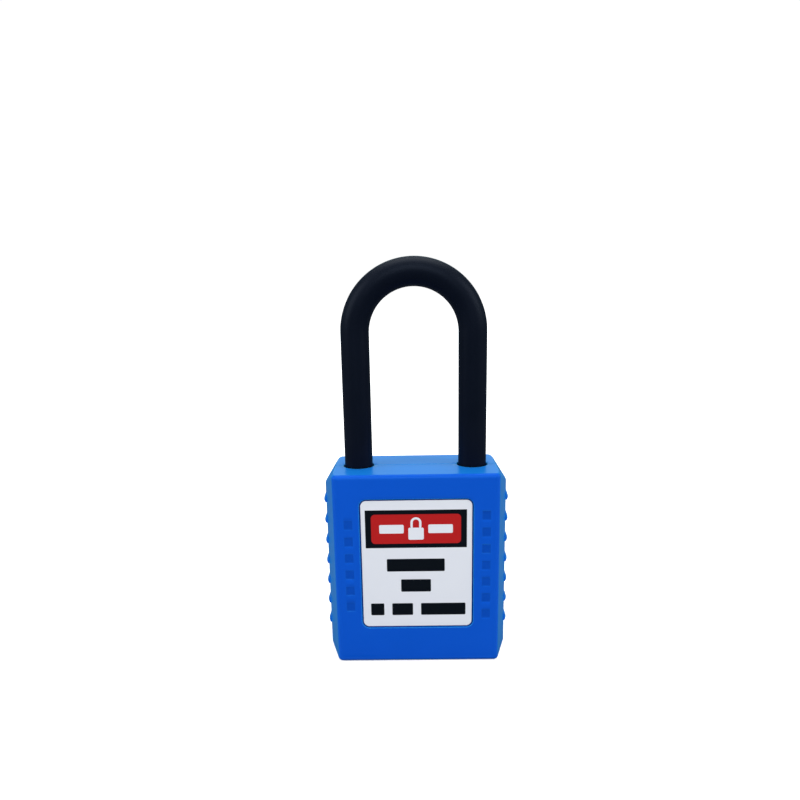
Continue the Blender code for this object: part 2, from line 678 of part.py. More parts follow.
make_pins()
make_pin_springs()
make_plug_clip()
make_cam_driver()
make_latch()
make_heel_pin()
make_shackle_spring()
make_labels()
make_plug()
make_cylinder_housing()
make_shackle()
make_shells()
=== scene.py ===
import math

import bmesh
import bpy
import numpy as np
from mathutils import Matrix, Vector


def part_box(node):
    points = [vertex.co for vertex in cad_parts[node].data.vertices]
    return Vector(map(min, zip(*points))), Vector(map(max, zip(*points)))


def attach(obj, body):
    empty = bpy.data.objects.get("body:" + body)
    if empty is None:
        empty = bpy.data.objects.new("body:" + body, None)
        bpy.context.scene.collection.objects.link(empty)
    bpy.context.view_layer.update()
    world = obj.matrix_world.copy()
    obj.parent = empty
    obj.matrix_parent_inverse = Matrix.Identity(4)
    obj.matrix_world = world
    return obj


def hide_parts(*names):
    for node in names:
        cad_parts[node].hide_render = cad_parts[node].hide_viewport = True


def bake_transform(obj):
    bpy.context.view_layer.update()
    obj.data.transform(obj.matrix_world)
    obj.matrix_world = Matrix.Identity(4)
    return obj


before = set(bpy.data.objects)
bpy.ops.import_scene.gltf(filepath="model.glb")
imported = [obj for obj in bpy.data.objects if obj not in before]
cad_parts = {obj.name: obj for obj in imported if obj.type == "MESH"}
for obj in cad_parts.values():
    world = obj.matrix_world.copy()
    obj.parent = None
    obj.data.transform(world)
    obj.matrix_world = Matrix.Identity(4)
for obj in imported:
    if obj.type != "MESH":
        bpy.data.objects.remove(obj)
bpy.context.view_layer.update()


# ---- Lock cylinder: housing and chamber cover ----
# The housing is a zinc die casting, a barrel with a rib along one side for the pin
# chambers, tumbled to a satin skin. A strip of bright steel is pressed in over the
# chambers, to keep the springs in.

def link_or_set(tree, socket, value):
    """Link a socket to another one, or give it a plain value."""
    if isinstance(value, bpy.types.NodeSocket):
        tree.links.new(value, socket)
    elif value is not None:
        socket.default_value = value


def math_node(tree, operation, first, second=None, clamp=False):
    """A Math node's output, from two values or sockets."""
    node = tree.nodes.new("ShaderNodeMath")
    node.operation = operation
    node.use_clamp = clamp
    link_or_set(tree, node.inputs[0], first)
    link_or_set(tree, node.inputs[1], second)
    return node.outputs[0]


def new_group(name, inputs, outputs):
    """A shader node group with number or vector inputs and number outputs, and its two end nodes."""
    group = bpy.data.node_groups.new(name, "ShaderNodeTree")
    for label, value in inputs.items():
        kind = "NodeSocketVector" if value is None else "NodeSocketFloat"
        socket = group.interface.new_socket(label, in_out="INPUT", socket_type=kind)
        if value is not None:
            socket.default_value = value
    for label in outputs:
        group.interface.new_socket(label, in_out="OUTPUT", socket_type="NodeSocketFloat")
    return group, group.nodes.new("NodeGroupInput"), group.nodes.new("NodeGroupOutput")


def make_grain_group():
    """Moulded or cast grain: Height is a fine noise with half its weight in a noise three
    times coarser, and Blotch is a slow cloud that spreads over millimetres."""
    group, start, end = new_group("surface_grain", {"Vector": None, "Scale": 3000.0}, ("Height", "Blotch"))
    noises = {}
    for label, share, detail in (("fine", 1.0, 2.0), ("coarse", 0.33, 1.0), ("blotch", 0.05, 3.0)):
        noise = group.nodes.new("ShaderNodeTexNoise")
        noise.inputs["Detail"].default_value = detail
        group.links.new(start.outputs["Vector"], noise.inputs["Vector"])
        group.links.new(math_node(group, "MULTIPLY", start.outputs["Scale"], share), noise.inputs["Scale"])
        noises[label] = noise.outputs[0]
    half = math_node(group, "MULTIPLY", noises["coarse"], 0.5)
    group.links.new(math_node(group, "ADD", noises["fine"], half), end.inputs["Height"])
    group.links.new(noises["blotch"], end.inputs["Blotch"])
    return group


def make_edge_group():
    """Edge mask: how far a rounded-off normal leans from the true one, broken up by noise. It sets
    rubbed wear, and on the blue plastic also a painted edge highlight.
    """
    group, start, end = new_group("edge_lean_mask", {"Vector": None, "Radius": 0.0002, "Amount": 1.0}, ("Mask",))
    bevel = group.nodes.new("ShaderNodeBevel")
    bevel.samples = 4
    geometry = group.nodes.new("ShaderNodeNewGeometry")
    dot = group.nodes.new("ShaderNodeVectorMath")
    dot.operation = "DOT_PRODUCT"
    noise = group.nodes.new("ShaderNodeTexNoise")
    noise.inputs["Scale"].default_value = 900.0
    noise.inputs["Detail"].default_value = 3.0
    group.links.new(start.outputs["Vector"], noise.inputs["Vector"])
    group.links.new(start.outputs["Radius"], bevel.inputs["Radius"])
    group.links.new(bevel.outputs[0], dot.inputs[0])
    group.links.new(geometry.outputs["Normal"], dot.inputs[1])
    lean = math_node(group, "SUBTRACT", 1.0, dot.outputs["Value"])
    strong = math_node(group, "MULTIPLY", math_node(group, "MULTIPLY", lean, 8.0), start.outputs["Amount"])
    mask = math_node(group, "MULTIPLY", strong, noise.outputs[0], clamp=True)
    group.links.new(mask, end.inputs["Mask"])
    return group


surface_grain = make_grain_group()
edge_lean_mask = make_edge_group()


def place_group(tree, group, vector, **values):
    """A group node in a material, fed with coordinates and its own values."""
    node = tree.nodes.new("ShaderNodeGroup")
    node.node_tree = group
    tree.links.new(vector, node.inputs["Vector"])
    for label, value in values.items():
        node.inputs[label.replace("_", " ")].default_value = value
    return node


def start_material(name, stretch=(1.0, 1.0, 1.0)):
    """A material with its Principled shader and Object coordinates, drawn out along a direction."""
    material = bpy.data.materials.new(name)
    material.use_nodes = True
    tree = material.node_tree
    coordinates = tree.nodes.new("ShaderNodeTexCoord")
    mapping = tree.nodes.new("ShaderNodeMapping")
    mapping.inputs["Scale"].default_value = stretch
    tree.links.new(coordinates.outputs["Object"], mapping.inputs["Vector"])
    return material, tree, tree.nodes["Principled BSDF"], mapping.outputs["Vector"]


def mix_colours(tree, mask, first, second):
    """The first colour where the mask is 0 and the second where it is 1."""
    mix = tree.nodes.new("ShaderNodeMix")
    mix.data_type = "RGBA"
    tree.links.new(mask, mix.inputs["Factor"])
    for socket, value in ((mix.inputs[6], first), (mix.inputs[7], second)):
        link_or_set(tree, socket, value if isinstance(value, bpy.types.NodeSocket) else (*value, 1.0))
    return mix.outputs[2]


def grain_finish(tree, shader, vector, scale, relief, roughness, spread):
    """Grain on a shader: a bump of that relief, and a roughness that drifts by the spread."""
    grain = place_group(tree, surface_grain, vector, Scale=scale)
    bump = tree.nodes.new("ShaderNodeBump")
    bump.inputs["Strength"].default_value = 1.0
    bump.inputs["Distance"].default_value = relief
    tree.links.new(grain.outputs["Height"], bump.inputs["Height"])
    tree.links.new(bump.outputs[0], shader.inputs["Normal"])
    drift = math_node(tree, "MULTIPLY_ADD", grain.outputs["Blotch"], 2 * spread)
    drift.node.inputs[2].default_value = roughness - spread
    tree.links.new(drift, shader.inputs["Roughness"])
    return grain


def metal(name, colour, bright, roughness, scale=2500.0, relief=4e-6, stretch=(1.0, 1.0, 1.0)):
    """A metal finish: grain or tool marks, brighter where edges are rubbed."""
    material, tree, shader, vector = start_material(name, stretch)
    shader.inputs["Metallic"].default_value = 1.0
    grain = grain_finish(tree, shader, vector, scale, relief, roughness, 0.08)
    edges = place_group(tree, edge_lean_mask, vector, Radius=0.00018, Amount=1.0)
    clouded = mix_colours(tree, grain.outputs["Blotch"], [0.86 * c for c in colour], colour)
    tree.links.new(mix_colours(tree, edges.outputs["Mask"], clouded, bright), shader.inputs["Base Color"])
    return material


def dress(material, *nodes):
    """Give CAD nodes that keep their own shape a finish."""
    for node in nodes:
        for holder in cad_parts[node].material_slots:
            holder.material = material


zinc = metal("cast_zinc", (0.50, 0.52, 0.55), (0.78, 0.79, 0.80), 0.40, scale=3500.0, relief=9e-6)
steel = metal("bright_steel", (0.60, 0.61, 0.63), (0.85, 0.85, 0.86), 0.26, stretch=(1.0, 0.15, 0.15))
dress(zinc, "cylinder_housing")
dress(steel, "chamber_cover")


# ---- Plug, its clip and the key pins ----
# The plug is turned and broached from brass bar. Six pointed brass key pins stand in it,
# and a ring of spring steel snaps into its groove behind the housing. They turn with the key.

brass = metal("turned_brass", (0.70, 0.47, 0.17), (0.93, 0.74, 0.38), 0.24, stretch=(0.2, 0.2, 1.0))
pin_brass = metal("pin_brass", (0.74, 0.52, 0.21), (0.93, 0.76, 0.42), 0.22, stretch=(1.0, 0.2, 0.2))
clip_steel = metal("clip_steel", (0.30, 0.30, 0.32), (0.62, 0.62, 0.64), 0.34)
dress(brass, "plug")
dress(pin_brass, *[f"key_pin_{number}" for number in range(1, 7)])
dress(clip_steel, "plug_clip")


# ---- Driver pins and their springs ----
# Each chamber holds a steel driver pin and a short coil of hard-drawn wire behind it,
# which presses the pins towards the plug. The coils' ends are wound closed.

MM = 0.001


def surface(name, points, material, **values):
    """A closed mesh from a grid of points. Quads join neighbours, the grid's second direction
    joins end to end, and points that meet are merged, which closes the seams and the poles.
    Values at the points become attributes of the mesh."""
    rows, columns = points.shape[:2]
    index = np.arange(rows * columns).reshape(rows, columns)
    ahead = np.roll(index, -1, axis=1)
    quads = np.stack([index[:-1], ahead[:-1], ahead[1:], index[1:]], axis=-1).reshape(-1, 4)
    mesh = bpy.data.meshes.new(name)
    mesh.vertices.add(index.size)
    mesh.vertices.foreach_set("co", points.astype(np.float32).ravel())
    mesh.loops.add(quads.size)
    mesh.loops.foreach_set("vertex_index", quads.astype(np.int32).ravel())
    mesh.polygons.add(len(quads))
    mesh.polygons.foreach_set("loop_start", np.arange(0, quads.size, 4, dtype=np.int32))
    mesh.update(calc_edges=True)
    for label, grid in values.items():
        attribute = mesh.attributes.new(label, "FLOAT", "POINT")
        attribute.data.foreach_set("value", grid.astype(np.float32).ravel())
    work = bmesh.new()
    work.from_mesh(mesh)
    bmesh.ops.remove_doubles(work, verts=work.verts, dist=0.001 * MM)
    if work.calc_volume(signed=True) < 0:
        bmesh.ops.reverse_faces(work, faces=work.faces)
    work.to_mesh(mesh)
    work.free()
    mesh.materials.append(material)
    mesh.polygons.foreach_set("use_smooth", np.ones(len(mesh.polygons), dtype=bool))
    mesh.set_sharp_from_angle(angle=math.radians(32))
    piece = bpy.data.objects.new(name, mesh)
    bpy.context.scene.collection.objects.link(piece)
    return piece


def tube(path, side, radius, around):
    """Points of a round bar along a path. At each path point a ring of that radius stands
    square to the path: side times the cosine, plus the path's direction crossed with side
    times the sine. The two end rings shrink to a point."""
    ahead = np.gradient(path, axis=0)
    ahead /= np.linalg.norm(ahead, axis=1, keepdims=True)
    other = np.cross(ahead, side)
    turn = np.linspace(0, 2 * np.pi, around, endpoint=False)
    radius = np.broadcast_to(radius, len(path)).copy()
    radius[[0, -1]] = 0.0
    spoke = np.cos(turn)[None, :, None] * side[:, None] + np.sin(turn)[None, :, None] * other[:, None]
    return path[:, None] + radius[:, None, None] * spoke


def coil(start, axis, radius, wire, length, turns):
    """Points of a spring. The path winds round the axis and climbs from start, with its first
    and last three quarters of a turn laid nearly flat, as closed ends are. Side points away
    from the axis."""
    steps_a_turn = 26
    share = np.linspace(0, 1, int(turns * steps_a_turn) + 1)
    closed = 0.75 / turns
    climb = np.clip((share - closed) / (1 - 2 * closed), 0, 1)
    ends = 2.1 * wire
    height = wire + ends * np.clip(share / closed, 0, 1) + ends * np.clip((share - 1) / closed + 1, 0, 1)
    height += (length - 2 * wire - 2 * ends) * climb
    turn = 2 * np.pi * turns * share
    first, second = {"Z": ((1, 0, 0), (0, 1, 0)), "X": ((0, 1, 0), (0, 0, 1))}[axis]
    side = np.cos(turn)[:, None] * first + np.sin(turn)[:, None] * second
    along = np.cross(first, second)
    path = np.array(start) + radius * side + height[:, None] * along
    path = np.concatenate([path[:1], path, path[-1:]])
    bulge = 0.02
    path[0] -= (path[2] - path[1]) * bulge
    path[-1] += (path[-2] - path[-3]) * bulge
    return tube(path, np.concatenate([side[:1], side, side[-1:]]), wire, 10)


wire_steel = metal("spring_wire", (0.40, 0.40, 0.43), (0.70, 0.70, 0.72), 0.30, scale=5000.0)
dress(steel, *[f"driver_pin_{number}" for number in range(1, 7)])
pin_wire = 0.14 * MM
pin_coil_radius = 0.88 * MM
for number in range(1, 7):
    low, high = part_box(f"pin_spring_{number}")
    middle = (low[2] + high[2]) / 2
    wound = coil((low[0], 0.0, middle), "X", pin_coil_radius, pin_wire, high[0] - low[0], 4.5)
    pin_spring = surface(f"chamber_coil_{number}", wound, wire_steel)
    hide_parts(f"pin_spring_{number}")
    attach(pin_spring, "root")


# ---- Cam driver, latch and heel pin ----
# The cam driver is a zinc casting whose tongue sits in the plug's slot. Its crank pin
# draws the zinc latch out of the shackle's notch. The heel pin is cut from steel rod and
# lies across the heel leg's flat, so the leg can't be pulled out.

pin_steel = metal("pin_steel", (0.58, 0.59, 0.61), (0.84, 0.84, 0.85), 0.28, stretch=(0.2, 1.0, 0.2))
dress(zinc, "cam_driver", "latch")
dress(pin_steel, "heel_pin")


# ---- Shackle and its spring ----
# One bar of black nylon, moulded to a U. The short toe leg has the latch notch, the long
# heel leg a flat with a groove at its foot. A spring under the heel leg lifts the unlocked
# shackle, stretching out as it rises; here the coil is wound once, at its length at rest.

body_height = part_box("front_shell")[1][2]
low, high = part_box("shackle")
bar_radius = 3.15 * MM
leg_x = high[0] - bar_radius
crown_z = high[2] - leg_x - bar_radius
toe_tip = body_height - 14.2 * MM
heel_tip = low[2]
tip_round = 0.8 * MM
notch = (32.6 * MM, 36.2 * MM, 11.65 * MM)
groove = (heel_tip + 1.45 * MM, heel_tip + 4.55 * MM, 1.85 * MM)
flat = (groove[0] + 0.05 * MM, heel_tip + 19.55 * MM, 11.05 * MM)


def leg_lines(tip, *edges):
    """Heights along a leg, from its tip to the crown: the rounded tip, a close pair of lines
    at each edge of a cut, and even steps between."""
    step = 0.03 * MM
    rounding = tip + tip_round * (1 - np.cos(np.linspace(0, np.pi / 2, 7)))
    pairs = np.ravel([(edge - step, edge + step) for edge in edges])
    even = np.linspace(tip + 1.2 * MM, crown_z, 36)
    clear = [line for line in even if np.abs(pairs - line).min() > 3 * step]
    return np.unique(np.concatenate([[tip], rounding, pairs, clear]))


def leg_radius(height, tip):
    """The bar's radius near a tip: a quarter ellipse over the rounding, then full."""
    share = np.clip((height - tip) / tip_round, 0, 1)
    return bar_radius - tip_round * (1 - np.sqrt(1 - (1 - share) ** 2))


def shackle_points():
    """The bar runs up the toe leg, round the half circle of the crown and down the heel leg.
    Each cut is a limit on how far a point may stand towards the loop, between two heights,
    and the groove is a smaller radius all round."""
    toe = leg_lines(toe_tip, *notch[:2])
    heel = leg_lines(heel_tip, flat[1], *groove[:2])[::-1]
    bend = np.linspace(0, np.pi, 73)[1:-1]
    x = np.concatenate([np.full(len(toe), leg_x), leg_x * np.cos(bend), np.full(len(heel), -leg_x)])
    z = np.concatenate([toe, crown_z + leg_x * np.sin(bend), heel])
    ends = leg_radius(toe, toe_tip), leg_radius(heel, heel_tip)
    radius = np.concatenate([ends[0], np.full(len(bend), bar_radius), ends[1]])
    in_groove = (x < 0) & (z > groove[0]) & (z < groove[1])
    radius = np.where(in_groove, groove[2], radius)
    path = np.stack([x, np.zeros_like(x), z], axis=-1)
    path = np.concatenate([path[:1], path, path[-1:]])
    radius = np.concatenate([[0.0], radius, [0.0]])
    side = np.tile((0.0, 1.0, 0.0), (len(path), 1))
    ahead = path.copy()
    ahead[0, 2] -= 0.001 * MM
    ahead[-1, 2] -= 0.001 * MM
    points = tube(ahead, side, radius, 64)
    points[[0, -1], :, 2] = path[[0, -1], None, 2]
    height = path[:, None, 2]
    on_toe = (path[:, None, 0] > 0) & (height > notch[0]) & (height < notch[1])
    points[..., 0] = np.where(on_toe, np.maximum(points[..., 0], notch[2]), points[..., 0])
    on_heel = (path[:, None, 0] < 0) & (height > flat[0]) & (height < flat[1])
    points[..., 0] = np.where(on_heel, np.minimum(points[..., 0], -flat[2]), points[..., 0])
    return points


def make_nylon():
    """Black nylon: nearly black with a cool cast, matt, with a fine moulded grain and faint
    grey rubbing."""
    material, tree, shader, vector = start_material("black_nylon")
    grain = grain_finish(tree, shader, vector, 2600.0, 14e-6, 0.46, 0.07)
    edges = place_group(tree, edge_lean_mask, vector, Radius=0.0003, Amount=0.5)
    clouded = mix_colours(tree, grain.outputs["Blotch"], (0.0016, 0.0030, 0.0075), (0.0032, 0.0052, 0.0115))
    lighter_edges = mix_colours(tree, edges.outputs["Mask"], clouded, (0.02, 0.024, 0.034))
    tree.links.new(lighter_edges, shader.inputs["Base Color"])
    shader.inputs["Specular IOR Level"].default_value = 0.1
    shader.inputs["Specular Tint"].default_value = (0.6, 0.75, 1.0, 1.0)
    return material


nylon = make_nylon()
shackle = surface("nylon_shackle", shackle_points(), nylon)
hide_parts("shackle")
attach(shackle, "shackle_bar")

low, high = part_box("shackle_spring")
spring_wire = 0.35 * MM
spring_middle = (low[0] + high[0]) / 2
wound = coil((spring_middle, 0.0, low[2]), "Z", 2.5 * MM, spring_wire, high[2] - low[2], 8)
pop_up_spring = surface("pop_up_spring", wound, wire_steel)
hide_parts("shackle_spring")
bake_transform(pop_up_spring)


# ---- Body shells ----
# Two mouldings of blue ABS, bonded round the lock at the middle plane. The sides lean out
# to a ridge with seven grip ribs, and square marks are engraved down both faces. Inside are
# bores, the cylinder's pocket and hollows between webs.

half_depth = 9.45 * MM
face_x = 18.2 * MM
ridge_x = 20.85 * MM
shoulder_drop = 3.8 * MM
edge_round = 0.9 * MM
corner_round = 1.15 * MM
parting = 0.05 * MM
parting_edge = 0.10 * MM
rim_width = 0.7 * MM
rim_step = {-1: 0.30 * MM, 1: -0.40 * MM}
label_half = (12.25 * MM, 14.95 * MM)
label_corner = 1.3 * MM
label_z = 23.8 * MM
recess_margin = 0.28 * MM
recess_depth = 0.45 * MM


def lines(*groups, least=0.03 * MM):
    """Grid lines in order, without any that stands closer than the least step to the last."""
    every = np.sort(np.concatenate([np.ravel(group) for group in groups]))
    kept = [every[0]]
    for line in every[1:-1]:
        if line - kept[-1] >= least and every[-1] - line >= least:
            kept.append(line)
    return np.array(kept + [every[-1]])


def pair(*edges, step=0.06 * MM):
    """Two grid lines for each edge of a pocket, so its wall is steep."""
    return np.ravel([(edge, edge + step) for edge in edges])


def round_corners(x, z, half, corner, reach):
    """Bend a square grid so its lines follow a rectangle's rounded corners. In each corner
    square a point moves along its ray, from its larger coordinate to its true distance, and
    the bend fades out over the reach beyond the rectangle."""
    across = np.abs(x) - (half[0] - corner)
    up = np.abs(z) - (half[1] - corner)
    level = np.maximum(across, up)
    length = np.hypot(across, up)
    fade = np.clip((corner + reach - level) / max(reach - 0.2 * MM, 1e-9), 0, 1) if reach > 0 else 1.0
    inside = (across > 0) & (up > 0)
    scale = np.where(inside, 1 - fade + fade * level / np.maximum(length, 1e-9), 1.0)
    across = np.where(inside, across * scale, across)
    up = np.where(inside, up * scale, up)
    return np.sign(x) * (across + half[0] - corner), np.sign(z) * (up + half[1] - corner), level - corner


recess_half = (label_half[0] + recess_margin, label_half[1] + recess_margin)
recess_corner = label_corner + recess_margin
recess_profile = (
    np.array([-0.12, -0.04, 0.0, 0.05, 0.13]) * MM,
    np.array([1.0, 0.92, 0.30, 0.08, 0.0]) * recess_depth,
)

mark_half = (1.0 * MM, 1.1 * MM)
mark_wall = 0.12 * MM
mark_depth = 0.07 * MM
# mark_shade is the share of painted shade that the marks get in the plastic's colour.
mark_shade = 0.35
mark_pitch = 3.9 * MM
mark_middle = 23.5 * MM
mark_columns = ((-15.05 * MM, 6), (15.40 * MM, 7))

rib_pitch = 5.0 * MM
lowest_rib = 6.3 * MM
rib_half_depth = 2.0 * MM
rib_end = 0.3 * MM
rib_profile = (
    np.array([-0.08, 0.0, 0.10, 0.345, 0.8, 1.4, 2.1]) * MM,
    np.array([0.0, 0.35, 0.45, 0.50, 0.45, 0.25, 0.0]) * MM,
)
rib_ledges = lowest_rib + rib_pitch * np.arange(7)


def mark_heights(count):
    """Middles of the marks in a column."""
    return mark_middle + mark_pitch * (np.arange(count) - (count - 1) / 2)


def outline_half():
    """The right half of the front shell's plan, from the front face's middle round to the
    ridge: a round corner, the leaning side and the ridge's own soft rounding. Gives x, y and
    the outward direction's angle for each column beyond the front face."""
    lean = math.atan2(ridge_x - face_x, half_depth)
    turn = math.pi / 2 - lean
    tangent = corner_round * math.tan(turn / 2)
    corner = np.linspace(-math.pi / 2, -lean, 9)
    corner_x = face_x - tangent + corner_round * np.cos(corner)
    corner_y = -half_depth + corner_round + corner_round * np.sin(corner)
    ridge_round = edge_round / math.tan(lean)
    ridge_centre = ridge_x - ridge_round / math.cos(lean)
    ridge_end = -math.asin((parting + parting_edge) / ridge_round)
    ridge = np.linspace(-lean, ridge_end, 5)
    ridge_y = ridge_round * np.sin(ridge)
    side_y = lines(
        np.linspace(corner_y[-1], ridge_y[0], 18),
        -rib_half_depth + rib_end * np.linspace(0, 1, 3),
        least=0.08 * MM,
    )[1:-1]
    side_x = face_x + (side_y + half_depth) * math.tan(lean)
    x = np.concatenate([corner_x, side_x, ridge_centre + ridge_round * np.cos(ridge)])
    y = np.concatenate([corner_y, side_y, ridge_y])
    angle = np.concatenate([corner, np.full(len(side_y), -lean), ridge])
    return face_x - tangent, x, y, angle


flange_x = 16.6 * MM
mild_x = 13.0 * MM


def pocket_depth(x, z, grow=0.0):
    """Depth of the moulding's inside below the middle plane: the deepest of the round bores
    along the height, each half a circle across, and of the square pockets. A bore is given by
    its middle, radius, bottom and top, and a pocket by its left, right, bottom, top and depth,
    all in millimetres."""
    deep = half_depth / MM - 2.2
    round_bores = [
        (leg_x, 3.5, 28.9, 60.0), (-leg_x, 3.5, 2.5, 60.0), (0.0, 5.9, -9.0, 2.5), (0.0, 6.6, 2.5, 24.9),
        (0.0, 5.5, 24.6, 28.8), (0.0, 3.5, 28.5, 32.9),
    ]
    levels = [(2.5, 8.4), (10.0, 16.4), (18.0, 23.6)]
    boxes = [(0.0, 12.9, 2.5, 24.9, 3.0), (-4.7, 7.9, 32.6, 36.2, 4.3), (6.9, 12.9, 32.6, 36.2, 2.7)]
    boxes += [(-11.05, -7.95, 32.75, 35.85, deep)]
    columns = ((-16.4, -8.3), (-7.3, 7.3), (8.3, 16.4))
    boxes += [(*column, *level, deep) for level in levels for column in columns]
    boxes += [(-16.4, -8.3, 25.2, 31.0, deep), (-7.3, 7.3, 38.0, 41.8, deep)]
    depth = np.zeros(np.broadcast(x, z).shape)
    slack = 0.001 * MM
    for middle, radius, bottom, top in round_bores:
        reach = radius * MM + grow
        across = np.sqrt(np.clip(reach ** 2 - (x - middle) ** 2, 0, None))
        within = (z > bottom * MM - slack) & (z < top * MM + slack)
        depth = np.maximum(depth, np.where(within, across, 0.0))
    for left, right, bottom, top, deepest in boxes:
        within = (x > left * MM - slack) & (x < right * MM + slack)
        within = within & (z > bottom * MM - slack) & (z < top * MM + slack)
        depth = np.maximum(depth, np.where(within, deepest * MM, 0.0))
    return depth


def shell_points(face):
    """One shell as a ring of points for each column from the left ridge, round the front, to
    the right ridge. A ring goes up the outside, over the top, down the inside and back under
    the bottom. Outside, the plan is inset by a quarter circle at the top and bottom edges and
    pushed out by the ribs, the shoulders limit how wide it is, and the label's recess and the
    marks sink the face. Inside, the depth is that of the pockets. Both ends of the grid close
    on the parting edge."""
    end_x, corner_x, corner_y, corner_angle = outline_half()
    bore = leg_x + 3.5 * MM * np.cos(np.linspace(0, np.pi, 15))
    barrel = 6.6 * MM * np.cos(np.linspace(0, np.pi, 17))
    mouth = 5.9 * MM * np.cos(np.linspace(0, np.pi, 13))
    inside = [bore, -bore, barrel, mouth, pair(-8.36 * MM, 8.3 * MM, -7.3 * MM - 0.06 * MM, 7.3 * MM)]
    inside += [pair(7.9 * MM, 12.9 * MM, -4.76 * MM, -11.11 * MM, -7.95 * MM, -16.46 * MM, 16.4 * MM)]
    recess_steps = np.array([0.35, 0.7, 1.05]) * MM
    edges = [side * (recess_half[0] + recess_profile[0]) for side in (-1, 1)]
    edges += [side * (recess_half[0] - recess_steps) for side in (-1, 1)]
    for middle, _ in mark_columns:
        edges.append(middle + np.array([-1, 1]) * mark_half[0])
        edges.append(middle + np.array([-1, 1]) * (mark_half[0] - mark_wall))
    inner_limit = np.array([-flange_x, -mild_x, mild_x, flange_x])
    outer_limit = np.array([-end_x, -mild_x, mild_x, end_x])
    outer_lines = np.interp(np.concatenate([np.ravel(group) for group in edges]), outer_limit, inner_limit)
    front_in = lines(np.linspace(-flange_x, flange_x, 31), *inside, outer_lines, least=0.045 * MM)
    front_out = np.interp(front_in, inner_limit, outer_limit)

    fillet = edge_round * (1 - np.cos(np.linspace(0, np.pi / 2, 8)))
    rows = [np.linspace(0, body_height, 40), fillet, body_height - fillet]
    rows += [np.linspace(body_height - shoulder_drop - 0.6 * MM, body_height - edge_round, 16)]
    rows += [ledge + rib_profile[0] for ledge in rib_ledges]
    for side in (-1, 1):
        rows.append(label_z + side * (recess_half[1] + recess_profile[0]))
        rows.append(label_z + side * (recess_half[1] - recess_steps))
    for _, count in mark_columns:
        for height in mark_heights(count):
            rows.append(height + np.array([-1, 1]) * mark_half[1])
            rows.append(height + np.array([-1, 1]) * (mark_half[1] - mark_wall))
    tops = np.array([8.4, 16.4, 23.6, 24.9, 28.8, 31.0, 32.9, 36.2, 41.8]) * MM
    bottoms = np.array([2.5, 10.0, 18.0, 25.2, 28.5, 28.9, 32.6, 38.0]) * MM
    rows += [pair(*tops), pair(*(bottoms - 0.06 * MM))]
    rows += [rim_width + np.array([0.0, 0.1]) * MM, body_height - rim_width - np.array([0.0, 0.1]) * MM]
    z = lines(*rows, least=0.02 * MM)

    face_count = len(front_out) - 2
    x = np.concatenate([-corner_x[::-1], front_out[1:-1], corner_x])
    y = np.concatenate([corner_y[::-1], np.full(face_count, -half_depth), corner_y])
    left_angle = -math.pi - corner_angle[::-1]
    angle = np.concatenate([left_angle, np.full(face_count, -math.pi / 2), corner_angle])
    x, y, angle, z = x[:, None], y[:, None], angle[:, None], z[None, :]
    below = np.clip(edge_round - np.minimum(z, body_height - z), 0, edge_round)
    inset = edge_round - np.sqrt(edge_round ** 2 - below ** 2)
    rise = sum(np.interp(z - ledge, *rib_profile) for ledge in rib_ledges)
    window = np.clip((y + rib_half_depth) / rib_end, 0, 1)
    push = rise * window - inset
    out_x = x + np.cos(angle) * push
    out_y = np.minimum(y + np.sin(angle) * push, -parting - parting_edge)
    limit = face_x + (body_height - z) * (ridge_x - face_x) / shoulder_drop
    soft = 0.3 * MM
    share = np.clip(0.5 + 0.5 * (limit - np.abs(out_x)) / soft, 0, 1)
    clamped = limit * (1 - share) + np.abs(out_x) * share - soft * share * (1 - share)
    out_x = np.sign(out_x) * np.where(np.abs(x) > face_x - 0.3 * MM, clamped, np.abs(out_x))
    out_z = np.broadcast_to(z, out_x.shape).copy()

    on_face = np.broadcast_to(np.isclose(angle, -math.pi / 2), out_x.shape)
    bent_x, bent_z, level = round_corners(out_x, out_z - label_z, recess_half, recess_corner, 1.2 * MM)
    out_x = np.where(on_face, bent_x, out_x)
    out_z = np.where(on_face, bent_z + label_z, out_z)
    sink = np.interp(level, *recess_profile)
    # Painted shade for the plastic's colour: full in the label's recess, and mark_shade in the marks.
    engraved = np.where(on_face, sink / recess_depth, 0.0)
    for middle, count in mark_columns:
        across = np.interp(np.abs(x - face * -middle), [mark_half[0] - mark_wall, mark_half[0]], [1, 0])
        for height in mark_heights(count):
            along = np.interp(np.abs(z - height), [mark_half[1] - mark_wall, mark_half[1]], [1, 0])
            engraved = np.maximum(engraved, mark_shade * across * along)
            sink = np.maximum(sink, mark_depth * across * along)
    out_y = out_y + np.where(on_face, sink, 0.0)

    squeeze = (body_height - 2 * parting_edge) / body_height
    in_z = np.broadcast_to(parting_edge + z * squeeze, out_x.shape).copy()
    for end in (0, -1):
        out_x[end] -= np.sign(out_x[end]) * parting_edge
        out_y[end] = -parting
        out_z[end] = in_z[end]
    corner_count = len(corner_x)
    share = (np.arange(corner_count) / (corner_count - 1))[:, None]
    flange = flange_x + share * (out_x[-1] - flange_x)
    level_in = np.broadcast_to(front_in[1:-1, None], (face_count, z.size))
    in_x = np.concatenate([-flange[::-1], level_in, flange])
    margin = np.minimum(np.abs(out_x[-1]) - np.abs(in_x), np.minimum(z, body_height - z))
    depth = pocket_depth(in_x, z)
    inner_rim = np.where(margin > rim_width, rim_step[face], -parting)
    in_y = np.where(depth > np.maximum(-inner_rim, 0), -depth, inner_rim)
    in_y[[0, -1]] = -parting

